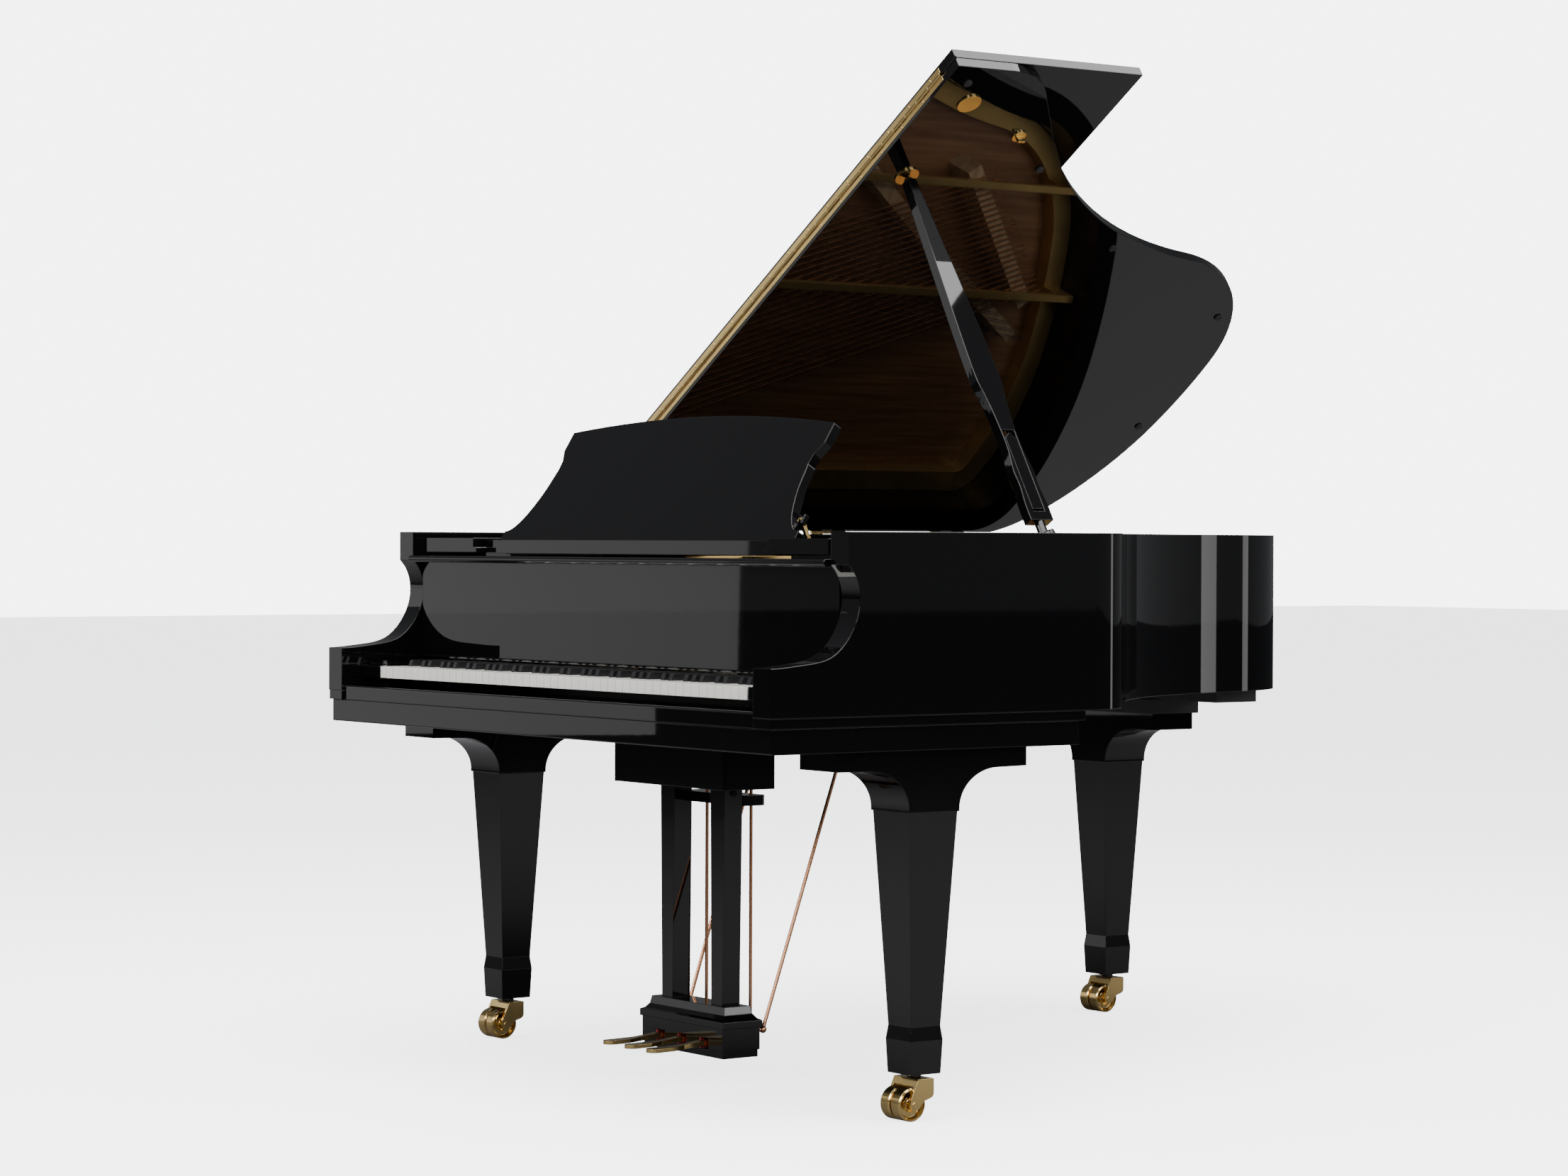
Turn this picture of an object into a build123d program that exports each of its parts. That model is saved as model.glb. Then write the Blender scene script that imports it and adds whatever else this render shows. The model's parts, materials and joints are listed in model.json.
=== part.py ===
from build123d import *
import os
from math import cos, radians, sin

os.makedirs("parts", exist_ok=True)

# A grand piano with its lid on the prop. Millimetres, +Z up, +X towards the treble, the player
# at -Y. X = 0 is the middle of the keyboard, Z = 0 the floor, and Y = 0 is midway along the case.

# ---- driving dimensions ----
case_length = 1800.0          # front of the arms to the tail of the lid
half_width = 738.0            # middle of the keyboard to the outside of the case
wall = 51.0                   # bent laminated rim
rim_top = 996.0
rim_bottom = 690.0
arm_top = 772.0
cheek_front = 157.0           # front of the upper cheeks, behind the front of the arms
keybed_top = 672.5
keybed_bottom = 630.5
keybed_depth = 657.0
lid_overhang = 12.0
lid_thickness = 18.0
lid_angle = 33.12             # how far the long prop holds the lid open
lid_front = 564.0             # seam between the main lid and its front flap
flap_depth = 435.0
keyboard_width = 1222.0
white_keys = 52
key_top = 738.0

inside = half_width - wall


def back(distance):
    """Y of a point this far behind the front of the arms."""
    return distance - case_length / 2


def nodes_out(pieces):
    """Label each finished piece and write its STEP file."""
    for label, piece in pieces.items():
        piece.part.label = label
        export_step(piece.part, "parts/" + label + ".step")


edge_x = half_width + lid_overhang


def plan(inset, front=-60.0):
    """Plan of the case, inset from the edge of the lid and cut off square at the front."""
    with BuildSketch() as outline:
        with BuildLine():
            side = Line((edge_x, back(-200)), (edge_x, back(690)))
            shoulder = TangentArc(side @ 1, (700, back(797)), tangent=side % 1)
            run = Line(shoulder @ 1, shoulder @ 1 + (shoulder % 1) * 163)
            hollow = TangentArc(run @ 1, (249, back(1474)), tangent=run % 1)
            hip = TangentArc(hollow @ 1, (133, back(1682)), tangent=hollow % 1)
            turn = TangentArc(hip @ 1, (-84, back(1783)), tangent=hip % 1)
            tail = TangentArc(turn @ 1, (-321, back(1800)), tangent=turn % 1)
            round_off = TangentArc(tail @ 1, (-569, back(1757)), tangent=tail % 1)
            heel = TangentArc(round_off @ 1, (-690, back(1695)), tangent=round_off % 1)
            spine = TangentArc(heel @ 1, (-edge_x, back(1579.6)), tangent=heel % 1)
            Polyline(spine @ 1, (-edge_x, back(-200)), (edge_x, back(-200)))
        make_face()
        if inset:
            offset(amount=-inset, mode=Mode.REPLACE)
        with Locations((0, back(front))):
            Rectangle(3 * edge_x, 1000, align=(Align.CENTER, Align.MAX), mode=Mode.SUBTRACT)
    return outline.sketch


# ======================= case =======================

with BuildPart() as outer_rim:
    with BuildSketch(Plane.XY.offset(rim_bottom)):
        add(plan(lid_overhang, front=0))
        add(plan(lid_overhang + wall, front=0), mode=Mode.SUBTRACT)
        with Locations((0, back(0))):
            Rectangle(2 * inside, 200, mode=Mode.SUBTRACT)
    extrude(amount=rim_top - rim_bottom)
    # the scroll that steps down from the cheeks to the arms
    with BuildSketch(Plane.YZ.offset(-half_width - 10)):
        with BuildLine():
            Spline(
                (back(0), arm_top),
                (back(63), 777),
                (back(124), 790),
                (back(166), 833),
                (back(180), 877),
                (back(171), 923),
                (back(cheek_front), 941),
                tangents=((1, 0), (-0.7, 0.7)),
            )
            Polyline(
                (back(cheek_front), 941),
                (back(cheek_front), rim_top + 10),
                (back(-10), rim_top + 10),
                (back(-10), arm_top),
                (back(0), arm_top),
            )
        make_face()
    extrude(amount=2 * half_width + 20, mode=Mode.SUBTRACT)

with BuildPart() as side_strips:
    with BuildSketch(Plane.XY.offset(keybed_top)):
        with Locations((-inside - wall / 2 + 1.5, back(0)), (inside + wall / 2 - 1.5, back(0))):
            Rectangle(wall - 3, 669, align=(Align.CENTER, Align.MIN))
    extrude(amount=rim_bottom - keybed_top)

with BuildPart() as keybed:
    with BuildSketch(Plane.XY.offset(keybed_bottom)):
        with Locations((0, back(6))):
            Rectangle(2 * half_width - 12, keybed_depth - 6, align=(Align.CENTER, Align.MIN))
    extrude(amount=keybed_top - keybed_bottom)
    fillet(keybed.edges().filter_by(Axis.X).group_by(Axis.Y)[0], 2)

inner_rim_top = 850.0
board_inset = lid_overhang + wall + 0.3
inner_rim_width = 40.0
belly_front = 655.0

with BuildPart() as inner_rim:
    with BuildSketch(Plane.XY.offset(rim_bottom)):
        add(plan(board_inset, front=belly_front))
        add(plan(board_inset + inner_rim_width, front=belly_front - 1), mode=Mode.SUBTRACT)
    extrude(amount=inner_rim_top - rim_bottom)

# belly rail across the case, three posts fanning to the tail, and the blocks of the rear leg
with BuildPart() as bottom_beams:
    with BuildSketch(Plane.XY.offset(rim_bottom)):
        with Locations((0, back(belly_front + 2))):
            Rectangle(2 * inside - 86, 45, align=(Align.CENTER, Align.MIN))
    extrude(amount=inner_rim_top - rim_bottom)
    with BuildSketch(Plane.XY.offset(rim_bottom)):
        for x, turn in ((-440, -3), (-150, 6), (150, 16)):
            with Locations(Location((x, back(700), 0), (0, 0, turn))):
                Rectangle(70, 1400, align=(Align.CENTER, Align.MIN))
        add(plan(board_inset + inner_rim_width + 0.5, front=690), mode=Mode.INTERSECT)
    extrude(amount=75)
    with BuildSketch(Plane.XY.offset(660)):
        with Locations((-256, back(1625))):
            Rectangle(650, 108)
    extrude(amount=rim_bottom - 660)
    with BuildSketch(Plane.XY.offset(keybed_bottom)):
        with Locations((-325, back(1624))):
            Rectangle(424, 124)
    extrude(amount=660 - keybed_bottom)

keyslip_top = 700.0
with BuildPart() as keyslip:
    with BuildSketch(Plane.YZ.offset(-inside + 1)):
        with Locations((back(5), keybed_top)):
            Rectangle(24, keyslip_top - keybed_top, align=(Align.MIN, Align.MIN))
    extrude(amount=2 * inside - 2)
    fillet(keyslip.edges().filter_by(Axis.X).group_by(Axis.Z)[-1], 4)

block_width = inside - keyboard_width / 2 - 4
with BuildPart() as key_blocks:
    with BuildSketch(Plane.XY.offset(keybed_top)):
        for side in (-1, 1):
            with Locations((side * (inside - 1 - block_width / 2), back(62))):
                Rectangle(block_width, 110, align=(Align.CENTER, Align.MIN))
    extrude(amount=key_top - keybed_top)
    with BuildSketch(Plane.XY.offset(717)):
        for side in (-1, 1):
            with Locations((side * (inside - 1 - block_width / 2), back(42))):
                Rectangle(block_width, 20, align=(Align.CENTER, Align.MIN))
    extrude(amount=key_top - 717)
    with Locations(
        (-inside + 1 + block_width / 2, back(75), key_top),
        (inside - 1 - block_width / 2, back(75), key_top),
    ):
        Cylinder(9, 5, align=(Align.CENTER, Align.CENTER, Align.MIN))
        Cylinder(7, 9, align=(Align.CENTER, Align.CENTER, Align.MIN))

# ======================= keyboard =======================

white_pitch = keyboard_width / white_keys
white_front = 42.0
key_tail = 440.0
sharp_front = white_front + 50
sharp_back = 170.0            # where the fallboard covers the sharps
sharp_width = 10.5
stick_bottom = 716.0
balance_y = 262.0
frame_top = keybed_top + 16

with BuildPart() as key_frame:
    with BuildSketch(Plane.XY.offset(keybed_top)):
        with Locations((0, back(64))):
            Rectangle(keyboard_width, 400, align=(Align.CENTER, Align.MIN))
    extrude(amount=16)
    with BuildSketch(Plane.XY.offset(frame_top)):
        with Locations((0, back(balance_y))):
            Rectangle(keyboard_width, 20)
    extrude(amount=stick_bottom - 1.5 - frame_top)
    with BuildSketch(Plane.XY.offset(frame_top)):
        with Locations((0, back(430))):
            Rectangle(keyboard_width, 20)
    extrude(amount=stick_bottom - 4 - frame_top)


def white_x(index):
    """Centre of a white key, counted from the lowest A."""
    return (index + 0.5 - white_keys / 2) * white_pitch


# a sharp sits between two whites wherever the scale has a whole tone; A is step 0
sharps = [
    white_x(index) + white_pitch / 2
    for index in range(white_keys - 1)
    if index % 7 not in (1, 4)
]


def white_key_set(first):
    """Every second white key, cut away for the sharps beside it."""
    with BuildPart() as keys:
        with BuildSketch(Plane.XY.offset(stick_bottom)):
            for index in range(first, white_keys, 2):
                with Locations((white_x(index), back(white_front))):
                    Rectangle(white_pitch - 1, key_tail - white_front, align=(Align.CENTER, Align.MIN))
            for x in sharps:
                with Locations((x, back(sharp_front - 2))):
                    Rectangle(sharp_width + 2.4, 400, align=(Align.CENTER, Align.MIN), mode=Mode.SUBTRACT)
        extrude(amount=key_top - stick_bottom)
    return keys


white_keys_odd = white_key_set(0)
white_keys_even = white_key_set(1)

with BuildPart() as black_keys:
    with BuildSketch(Plane.XY.offset(stick_bottom)):
        for x in sharps:
            with Locations((x, back(sharp_front))):
                Rectangle(sharp_width, key_tail - sharp_front, align=(Align.CENTER, Align.MIN))
    extrude(amount=key_top - 2 - stick_bottom)
    # the raised ebony tops, sloped at the front
    with BuildSketch(Plane.XY.offset(key_top - 2)):
        for x in sharps:
            with Locations((x, back(sharp_front))):
                Rectangle(sharp_width, sharp_back - sharp_front, align=(Align.CENTER, Align.MIN))
    extrude(amount=14)
    chamfer(black_keys.edges().filter_by(Axis.X).group_by(Axis.Z)[-1].group_by(Axis.Y)[0], 13, 5)

# ======================= fallboard =======================

fall_face = 177.4
with BuildPart() as fallboard:
    with BuildSketch(Plane.YZ.offset(-inside + 3)):
        with BuildLine():
            Polyline(
                (back(fall_face), 752),
                (back(fall_face + 18), 752),
                (back(fall_face + 18), 950),
                (back(150), 950),
            )
            RadiusArc((back(150), 950), (back(150), 937.5), -6.3)
            Polyline((back(150), 937.5), (back(fall_face), 937.5), (back(fall_face), 752))
        make_face()
    extrude(amount=2 * inside - 6)
    fillet(fallboard.edges().filter_by(Axis.X).group_by(Axis.Z)[0], 5)

# ======================= legs and casters =======================

leg_front_x = 658.0
leg_front_y = 358.0
leg_rear_x = -325.0
leg_rear_y = 1624.0
leg_foot = 79.0


def leg(x, y, along):
    """A square tapered leg under a coved bracket that runs in the direction along."""
    up = Vector(0, 0, 1)
    with BuildPart() as post:
        with BuildSketch(Plane(origin=(x, back(y), 0), x_dir=along, z_dir=Vector(along).cross(up))):
            with BuildLine():
                Polyline((-136, 596), (-203, 597), (-203, keybed_bottom), (199, keybed_bottom), (199, 597), (137, 596))
                EllipticalCenterArc((137, 528), 83.5, 68, start_angle=90, arc_size=90)
                Polyline((53.5, 528), (53.5, 524), (-53.5, 524), (-53.5, 528))
                EllipticalCenterArc((-136, 528), 82.5, 68, start_angle=0, arc_size=90)
            make_face()
        extrude(amount=53.5, both=True)
        with BuildSketch(Plane((x, back(y), 524))):
            Rectangle(102, 102)
        with BuildSketch(Plane((x, back(y), 160))):
            Rectangle(63, 63)
        loft()
        with BuildSketch(Plane((x, back(y), 160))):
            Rectangle(63, 63)
        with BuildSketch(Plane((x, back(y), 136))):
            Rectangle(69, 69)
        loft()
        with BuildSketch(Plane((x, back(y), 136))):
            Rectangle(69, 69)
        with BuildSketch(Plane((x, back(y), leg_foot))):
            Rectangle(64, 64)
        loft()
        with BuildSketch(Plane((x, back(y), 72.5))):
            Circle(12)
        extrude(amount=leg_foot - 72.5)
    return post


leg_front_left = leg(-leg_front_x, leg_front_y, (0, 1, 0))
leg_front_right = leg(leg_front_x, leg_front_y, (0, 1, 0))
leg_rear = leg(leg_rear_x, leg_rear_y, (-1, 0, 0))

wheel_radius = 28.5
wheel_width = 54.0
trail = 24.0
horn_width = 68.0


def caster_horn(x, y):
    """Brass fork that swivels under the leg, with the steel axle pin through it."""
    with BuildPart() as horn:
        with BuildSketch(Plane.YZ.offset(x - horn_width / 2)):
            with BuildLine():
                Polyline(
                    (back(y - 16.5), 72),
                    (back(y + 16.5), 72),
                    (back(y + 16.5), 48),
                )
                Spline(
                    (back(y + 16.5), 48),
                    (back(y - 4), 34),
                    (back(y - trail + 6), 20),
                    tangents=((0, -1), (-1, -0.4)),
                )
                Polyline(
                    (back(y - trail + 6), 20),
                    (back(y - trail - 6), 20),
                    (back(y - trail - 10), wheel_radius),
                    (back(y - trail - 8), 38),
                    (back(y - 16.5), 72),
                )
            make_face()
        extrude(amount=horn_width)
        with BuildSketch(Plane.YZ.offset(x - wheel_width / 2 - 1)):
            with Locations((back(y - trail), wheel_radius)):
                Circle(wheel_radius + 3)
            with Locations((back(y - trail), 0)):
                Rectangle(80, wheel_radius, align=(Align.CENTER, Align.MIN))
        extrude(amount=wheel_width + 2, mode=Mode.SUBTRACT)
        with BuildSketch(Plane.YZ.offset(x - horn_width / 2 - 1)):
            with Locations((back(y - trail), wheel_radius)):
                Circle(5)
        extrude(amount=horn_width + 2)
    return horn


def caster_wheel(x, y):
    """Double brass wheel: two dished treads with a groove between them."""
    with BuildPart() as wheel:
        with BuildSketch(Plane((x, back(y - trail), wheel_radius), x_dir=(1, 0, 0), z_dir=(0, -1, 0))):
            with BuildLine():
                Polyline(
                    (0, 5.4),
                    (23, 5.4),
                    (23, 10),
                    (19, 13),
                    (19, 21),
                    (24, wheel_radius - 3),
                    (wheel_width / 2, wheel_radius - 3),
                    (wheel_width / 2 - 2, wheel_radius),
                    (5, wheel_radius),
                    (3, wheel_radius - 3),
                    (3, 19),
                    (0, 19),
                )
                mirror(about=Plane.YZ)
            make_face()
        revolve(axis=Axis((x, back(y - trail), wheel_radius), (1, 0, 0)))
    return wheel


caster_horn_left = caster_horn(-leg_front_x, leg_front_y)
caster_horn_right = caster_horn(leg_front_x, leg_front_y)
caster_horn_rear = caster_horn(leg_rear_x, leg_rear_y)
caster_wheel_left = caster_wheel(-leg_front_x, leg_front_y)
caster_wheel_right = caster_wheel(leg_front_x, leg_front_y)
caster_wheel_rear = caster_wheel(leg_rear_x, leg_rear_y)

# ======================= pedal lyre =======================

lyre_y = 369.0
pedal_pitch = 71.0
slot_width = 31.0
slot_top = 78.0
box_top = 98.3
pedal_pivot = (back(lyre_y), 69.0)
rod_y = 431.0

with BuildPart() as lyre_top_block:
    with BuildSketch(Plane.XY.offset(533)):
        with Locations((0, back(295))):
            Rectangle(360, 113, align=(Align.CENTER, Align.MIN))
    extrude(amount=keybed_bottom - 533)
    fillet(lyre_top_block.edges().filter_by(Axis.Z), 4)

with BuildPart() as lyre_posts:
    for side in (-1, 1):
        with BuildSketch(Plane((side * 81.3, back(lyre_y), 533))):
            Rectangle(45, 39)
        with BuildSketch(Plane((side * 80.5, back(lyre_y), 136))):
            Rectangle(34.3, 39)
        loft()
    with BuildSketch(Plane.XY.offset(498)):
        with Locations((0, back(416))):
            RectangleRounded(208, 54, 12)
        with Locations(*[(x, back(rod_y)) for x in (-pedal_pitch, 0, pedal_pitch)]):
            Circle(4, mode=Mode.SUBTRACT)
    extrude(amount=19)
    with BuildSketch(Plane.YZ.offset(103)):
        with Locations((back(lyre_y), 521)):
            Circle(6)
    extrude(amount=5)

with BuildPart() as pedal_box:
    with BuildSketch(Plane.XY.offset(44)):
        with Locations((0, back(lyre_y))):
            Rectangle(257, 76.8)
    extrude(amount=13)
    with BuildSketch(Plane.XY.offset(57)):
        with Locations((0, back(lyre_y))):
            Rectangle(260.8, 82.7)
    extrude(amount=box_top - 57)
    with BuildSketch(Plane.XZ.offset(-back(lyre_y - 60))):
        with Locations(*[(x, 57) for x in (-pedal_pitch, 0, pedal_pitch)]):
            Rectangle(slot_width, slot_top - 57, align=(Align.CENTER, Align.MIN))
    extrude(amount=-120, mode=Mode.SUBTRACT)
    with BuildSketch(Plane.YZ.offset(-100)):
        with Locations(pedal_pivot):
            Circle(2.5)
    extrude(amount=200)

with BuildPart() as slot_felts:
    with BuildSketch(Plane.XY.offset(57.2)):
        for x in (-pedal_pitch, 0, pedal_pitch):
            with Locations((x - slot_width / 2 + 1.2, back(lyre_y)), (x + slot_width / 2 - 1.2, back(lyre_y))):
                Rectangle(2, 80)
    extrude(amount=slot_top - 57.4)
    with BuildSketch(Plane.YZ.offset(-100)):
        with Locations(pedal_pivot):
            Circle(2.8)
    extrude(amount=200, mode=Mode.SUBTRACT)

with BuildPart() as lyre_moulding:
    with BuildSketch(Plane.XY.offset(box_top)):
        with Locations((0, back(lyre_y))):
            Rectangle(273.2, 86)
    extrude(amount=12.5)
    for low, high in (((110.8, 273, 86), (114, 256, 74)), ((114, 256, 74), (122, 243, 62)), ((122, 243, 62), (136, 236.8, 56))):
        with BuildSketch(Plane((0, back(lyre_y), low[0]))):
            Rectangle(low[1], low[2])
        with BuildSketch(Plane((0, back(lyre_y), high[0]))):
            Rectangle(high[1], high[2])
        loft()

brace_low = Vector(125, back(421), 92)
brace_high = Vector(132, back(604), 628)
with BuildPart() as lyre_braces:
    for side in (-1, 1):
        low = Vector(side * brace_low.X, brace_low.Y, brace_low.Z)
        high = Vector(side * brace_high.X, brace_high.Y, brace_high.Z)
        with BuildSketch(Plane(origin=low, z_dir=high - low)):
            Circle(3.5)
        extrude(amount=(high - low).length)
        with BuildSketch(Plane((low.X, back(lyre_y + 41.4), low.Z), z_dir=(0, 1, 0))):
            Circle(3)
        extrude(amount=10)
        with Locations(low):
            Sphere(7)
        with BuildSketch(Plane((high.X, high.Y, 625.5))):
            Circle(14)
        extrude(amount=5)


def pedal(x):
    """Brass pedal: a round-ended tongue that narrows and climbs to the slot."""
    with BuildPart() as lever:
        with BuildSketch(Plane.YZ.offset(x - 14)):
            with BuildLine():
                Polyline((back(438), 64.5), (back(438), 73), (back(322), 73))
                Spline(
                    (back(322), 73),
                    (back(270), 67.5),
                    (back(205), 66),
                    tangents=((-1, -0.1), (-1, 0)),
                )
                Polyline((back(205), 66), (back(205), 59))
                Spline(
                    (back(205), 59),
                    (back(270), 60.5),
                    (back(330), 64.5),
                    tangents=((1, 0), (1, 0.05)),
                )
                Line((back(330), 64.5), (back(438), 64.5))
            make_face()
        extrude(amount=28)
        with BuildSketch(Plane.XY.offset(50)):
            with Locations((x, back(219))):
                Circle(14)
            with Locations((x, back(219))):
                Rectangle(28, 34, align=(Align.CENTER, Align.MIN))
            with Locations((x, back(253))):
                Trapezoid(28, 34, 78, rotation=0, align=(Align.CENTER, Align.MIN))
            with Locations((x, back(280))):
                Rectangle(17, 160, align=(Align.CENTER, Align.MIN))
        extrude(amount=40, mode=Mode.INTERSECT)
        with BuildSketch(Plane.YZ.offset(x - 20)):
            with Locations(pedal_pivot):
                Circle(3.2)
        extrude(amount=40, mode=Mode.SUBTRACT)
    return lever


def pedal_rod(x):
    """Copper rod from the tail of a pedal up to the trapwork, with a cone above the guide bar."""
    with BuildPart() as rod:
        with BuildSketch(Plane.XY.offset(73.5)):
            with Locations((x, back(rod_y))):
                Circle(3.25)
        extrude(amount=548)
        with Locations((x, back(rod_y), 530)):
            Cone(8, 4, 16, align=(Align.CENTER, Align.CENTER, Align.MIN))
    return rod


pedal_left = pedal(-pedal_pitch)
pedal_middle = pedal(0)
pedal_right = pedal(pedal_pitch)
rod_left = pedal_rod(-pedal_pitch)
rod_middle = pedal_rod(0)
rod_right = pedal_rod(pedal_pitch)

# ======================= music desk =======================

tray_half = 473.0
desk_lean = 32.04
desk_foot = 978.0
desk_face_y = 228.1
desk_thickness = 18.0
desk_plane = Plane(
    origin=(0, back(desk_face_y), desk_foot),
    x_dir=(1, 0, 0),
    z_dir=(0, -cos(radians(desk_lean)), sin(radians(desk_lean))),
)
stay_x = 435.0
stay_top = (279.4, 1016.7)
stay_foot = (303.0, 962.0)

with BuildPart() as stretcher:
    with BuildSketch(Plane.XY.offset(785)):
        with Locations((0, back(208))):
            Rectangle(2 * inside - 1, 22, align=(Align.CENTER, Align.MIN))
    extrude(amount=150)

with BuildPart() as shelf_blocks:
    with BuildSketch(Plane.XY.offset(957)):
        for side in (-1, 1):
            with Locations((side * (tray_half + 660.8) / 2, back(172))):
                Rectangle(660 - tray_half - 0.8, 348, align=(Align.CENTER, Align.MIN))
    extrude(amount=27.5)
    with BuildSketch(Plane.XY.offset(941)):
        for side in (-1, 1):
            with Locations((side * (inside + 459) / 2, back(240))):
                Rectangle(inside - 459.5, 270, align=(Align.CENTER, Align.MIN))
    extrude(amount=13.5)
    with BuildSketch(Plane.XY.offset(954.5)):
        for side in (-1, 1):
            with Locations((side * (inside + 476) / 2, back(240))):
                Rectangle(inside - 476.5, 270, align=(Align.CENTER, Align.MIN))
    extrude(amount=6)
    # a channel for the ears of the desk as it slides forward or lies flat
    with BuildSketch(Plane.XY.offset(966)):
        with Locations((0, back(165))):
            Rectangle(2 * (tray_half + 12), 450, align=(Align.CENTER, Align.MIN))
    extrude(amount=30, mode=Mode.SUBTRACT)

# rail, middle board, two end boards, and the two short boards that close the stay slots
with BuildPart() as desk_tray:
    with BuildSketch(Plane.XY.offset(955)):
        with Locations((0, back(194))):
            Rectangle(2 * tray_half, 28, align=(Align.CENTER, Align.MIN))
        with Locations((0, back(222.1))):
            Rectangle(2 * (stay_x - 20), 297.9, align=(Align.CENTER, Align.MIN))
        for side in (-1, 1):
            with Locations((side * (tray_half + stay_x + 20.1) / 2, back(222.1))):
                Rectangle(tray_half - stay_x - 20.1, 297.9, align=(Align.CENTER, Align.MIN))
            with Locations((side * stay_x, back(310))):
                Rectangle(39.8, 210, align=(Align.CENTER, Align.MIN))
    extrude(amount=12)
    with BuildSketch(Plane.XY.offset(967)):
        with Locations((0, back(194))):
            Rectangle(2 * tray_half, 20, align=(Align.CENTER, Align.MIN))
    extrude(amount=14)


def up_desk(height):
    """Distance up the sloping face of the desk to a height above the floor."""
    return (height - desk_foot) / cos(radians(desk_lean))


with BuildPart() as music_desk:
    with BuildSketch(desk_plane):
        with BuildLine():
            Polyline((0, 0), (474, 0), (480, up_desk(986)), (480, up_desk(997)))
            Spline(
                (480, up_desk(997)),
                (456, up_desk(1005)),
                (435, up_desk(1027)),
                (421, up_desk(1054)),
                (411, up_desk(1087)),
                (407, up_desk(1112)),
                (408, up_desk(1132)),
                tangents=((-1, 0.1), (0.1, 1)),
            )
            Polyline((408, up_desk(1132)), (422, up_desk(1152)), (422, up_desk(1187)))
            ThreePointArc((422, up_desk(1187)), (213, up_desk(1202.6)), (0, up_desk(1208)))
            mirror(about=Plane.YZ)
        make_face()
    extrude(amount=-desk_thickness)
    # lugs that carry the two stays
    with BuildSketch(desk_plane.offset(-desk_thickness)):
        for side in (-1, 1):
            with Locations((side * stay_x - 9, 60), (side * stay_x + 9, 60)):
                Rectangle(5, 18)
    extrude(amount=-10)
    for side in (-1, 1):
        with BuildSketch(Plane.YZ.offset(side * stay_x - 8)):
            with Locations((back(stay_top[0]), stay_top[1])):
                Circle(2)
        extrude(amount=16)

stay_run = Vector(0, stay_foot[0] - stay_top[0], stay_foot[1] - stay_top[1])
with BuildPart() as desk_stays:
    for side in (-1, 1):
        with BuildSketch(Plane.YZ.offset(side * stay_x - 4)):
            with BuildLine():
                Line((back(stay_top[0]), stay_top[1]), (back(stay_foot[0]), stay_foot[1]))
            trace(line_width=7)
            with Locations((back(stay_top[0]), stay_top[1])):
                Circle(4.4)
                Circle(2.5, mode=Mode.SUBTRACT)
        extrude(amount=8)

# ======================= lid =======================

hinge_x = -742.5
hinge_z = 1000.0
open_dir = Vector(cos(radians(lid_angle)), 0, sin(radians(lid_angle)))
open_up = Vector(-sin(radians(lid_angle)), 0, cos(radians(lid_angle)))
hinge_point = Vector(hinge_x, 0, hinge_z)
# closed-lid coordinates, carried up with the raised lid; its Z = 0 is the underside
lid_plane = Plane(origin=hinge_point - open_dir * hinge_x, x_dir=open_dir, z_dir=open_up)
lid_left = -half_width
lid_right = half_width + lid_overhang
knuckle_y = lid_front - 1.2
knuckle_z = lid_thickness + 0.75
flap_bottom = lid_thickness + 1.5


def on_lid(height):
    """Plane parallel to the underside of the raised lid."""
    return lid_plane.offset(height)


def lid_section(x):
    """Plane across the raised lid, local X towards the tail and local Y out of its top."""
    return Plane(origin=lid_plane.from_local_coords(Vector(x, 0, 0)), x_dir=(0, 1, 0), z_dir=open_dir)


with BuildPart() as lid_main:
    with BuildSketch(on_lid(0)):
        add(plan(0, front=lid_front))
        with Locations((lid_left, 0)):
            Rectangle(100, 3000, align=(Align.MAX, Align.CENTER), mode=Mode.SUBTRACT)
    extrude(amount=lid_thickness)
    with BuildSketch(lid_section(lid_left - 10)):
        with Locations((back(knuckle_y), knuckle_z)):
            Circle(4.3)
    extrude(amount=1600, mode=Mode.SUBTRACT)

with BuildPart() as lid_flap:
    with BuildSketch(on_lid(flap_bottom)):
        with Locations((lid_left, back(lid_front))):
            Rectangle(lid_right - lid_left, flap_depth, align=(Align.MIN, Align.MIN))
    extrude(amount=lid_thickness)
    with BuildSketch(lid_section(lid_left - 10)):
        with Locations((back(knuckle_y), knuckle_z)):
            Circle(4.3)
    extrude(amount=1600, mode=Mode.SUBTRACT)

leaf_length = 1400.0
knuckle_count = 35
knuckle_pitch = leaf_length / knuckle_count


def hinge_leaf(low, high, tab_low, tab_high, first):
    """One leaf of the piano hinge with every second knuckle."""
    with BuildPart() as leaf:
        with BuildSketch(lid_section(lid_left + 40)):
            with Locations((back(lid_front) - 0.45, (low + high) / 2)):
                Rectangle(0.9, high - low)
        extrude(amount=leaf_length)
        for index in range(first, knuckle_count, 2):
            with BuildSketch(lid_section(lid_left + 40 + index * knuckle_pitch + 0.3)):
                with Locations((back(lid_front) - 0.45, (tab_low + tab_high) / 2)):
                    Rectangle(0.9, tab_high - tab_low)
                with Locations((back(knuckle_y), knuckle_z)):
                    Circle(3.5)
            extrude(amount=knuckle_pitch - 0.6)
    return leaf


hinge_leaf_main = hinge_leaf(6.2, 14.6, 14.5, 17.5, 0)
hinge_leaf_flap = hinge_leaf(knuckle_z + 4.2, 33.2, knuckle_z + 1.2, knuckle_z + 4.3, 1)

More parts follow.
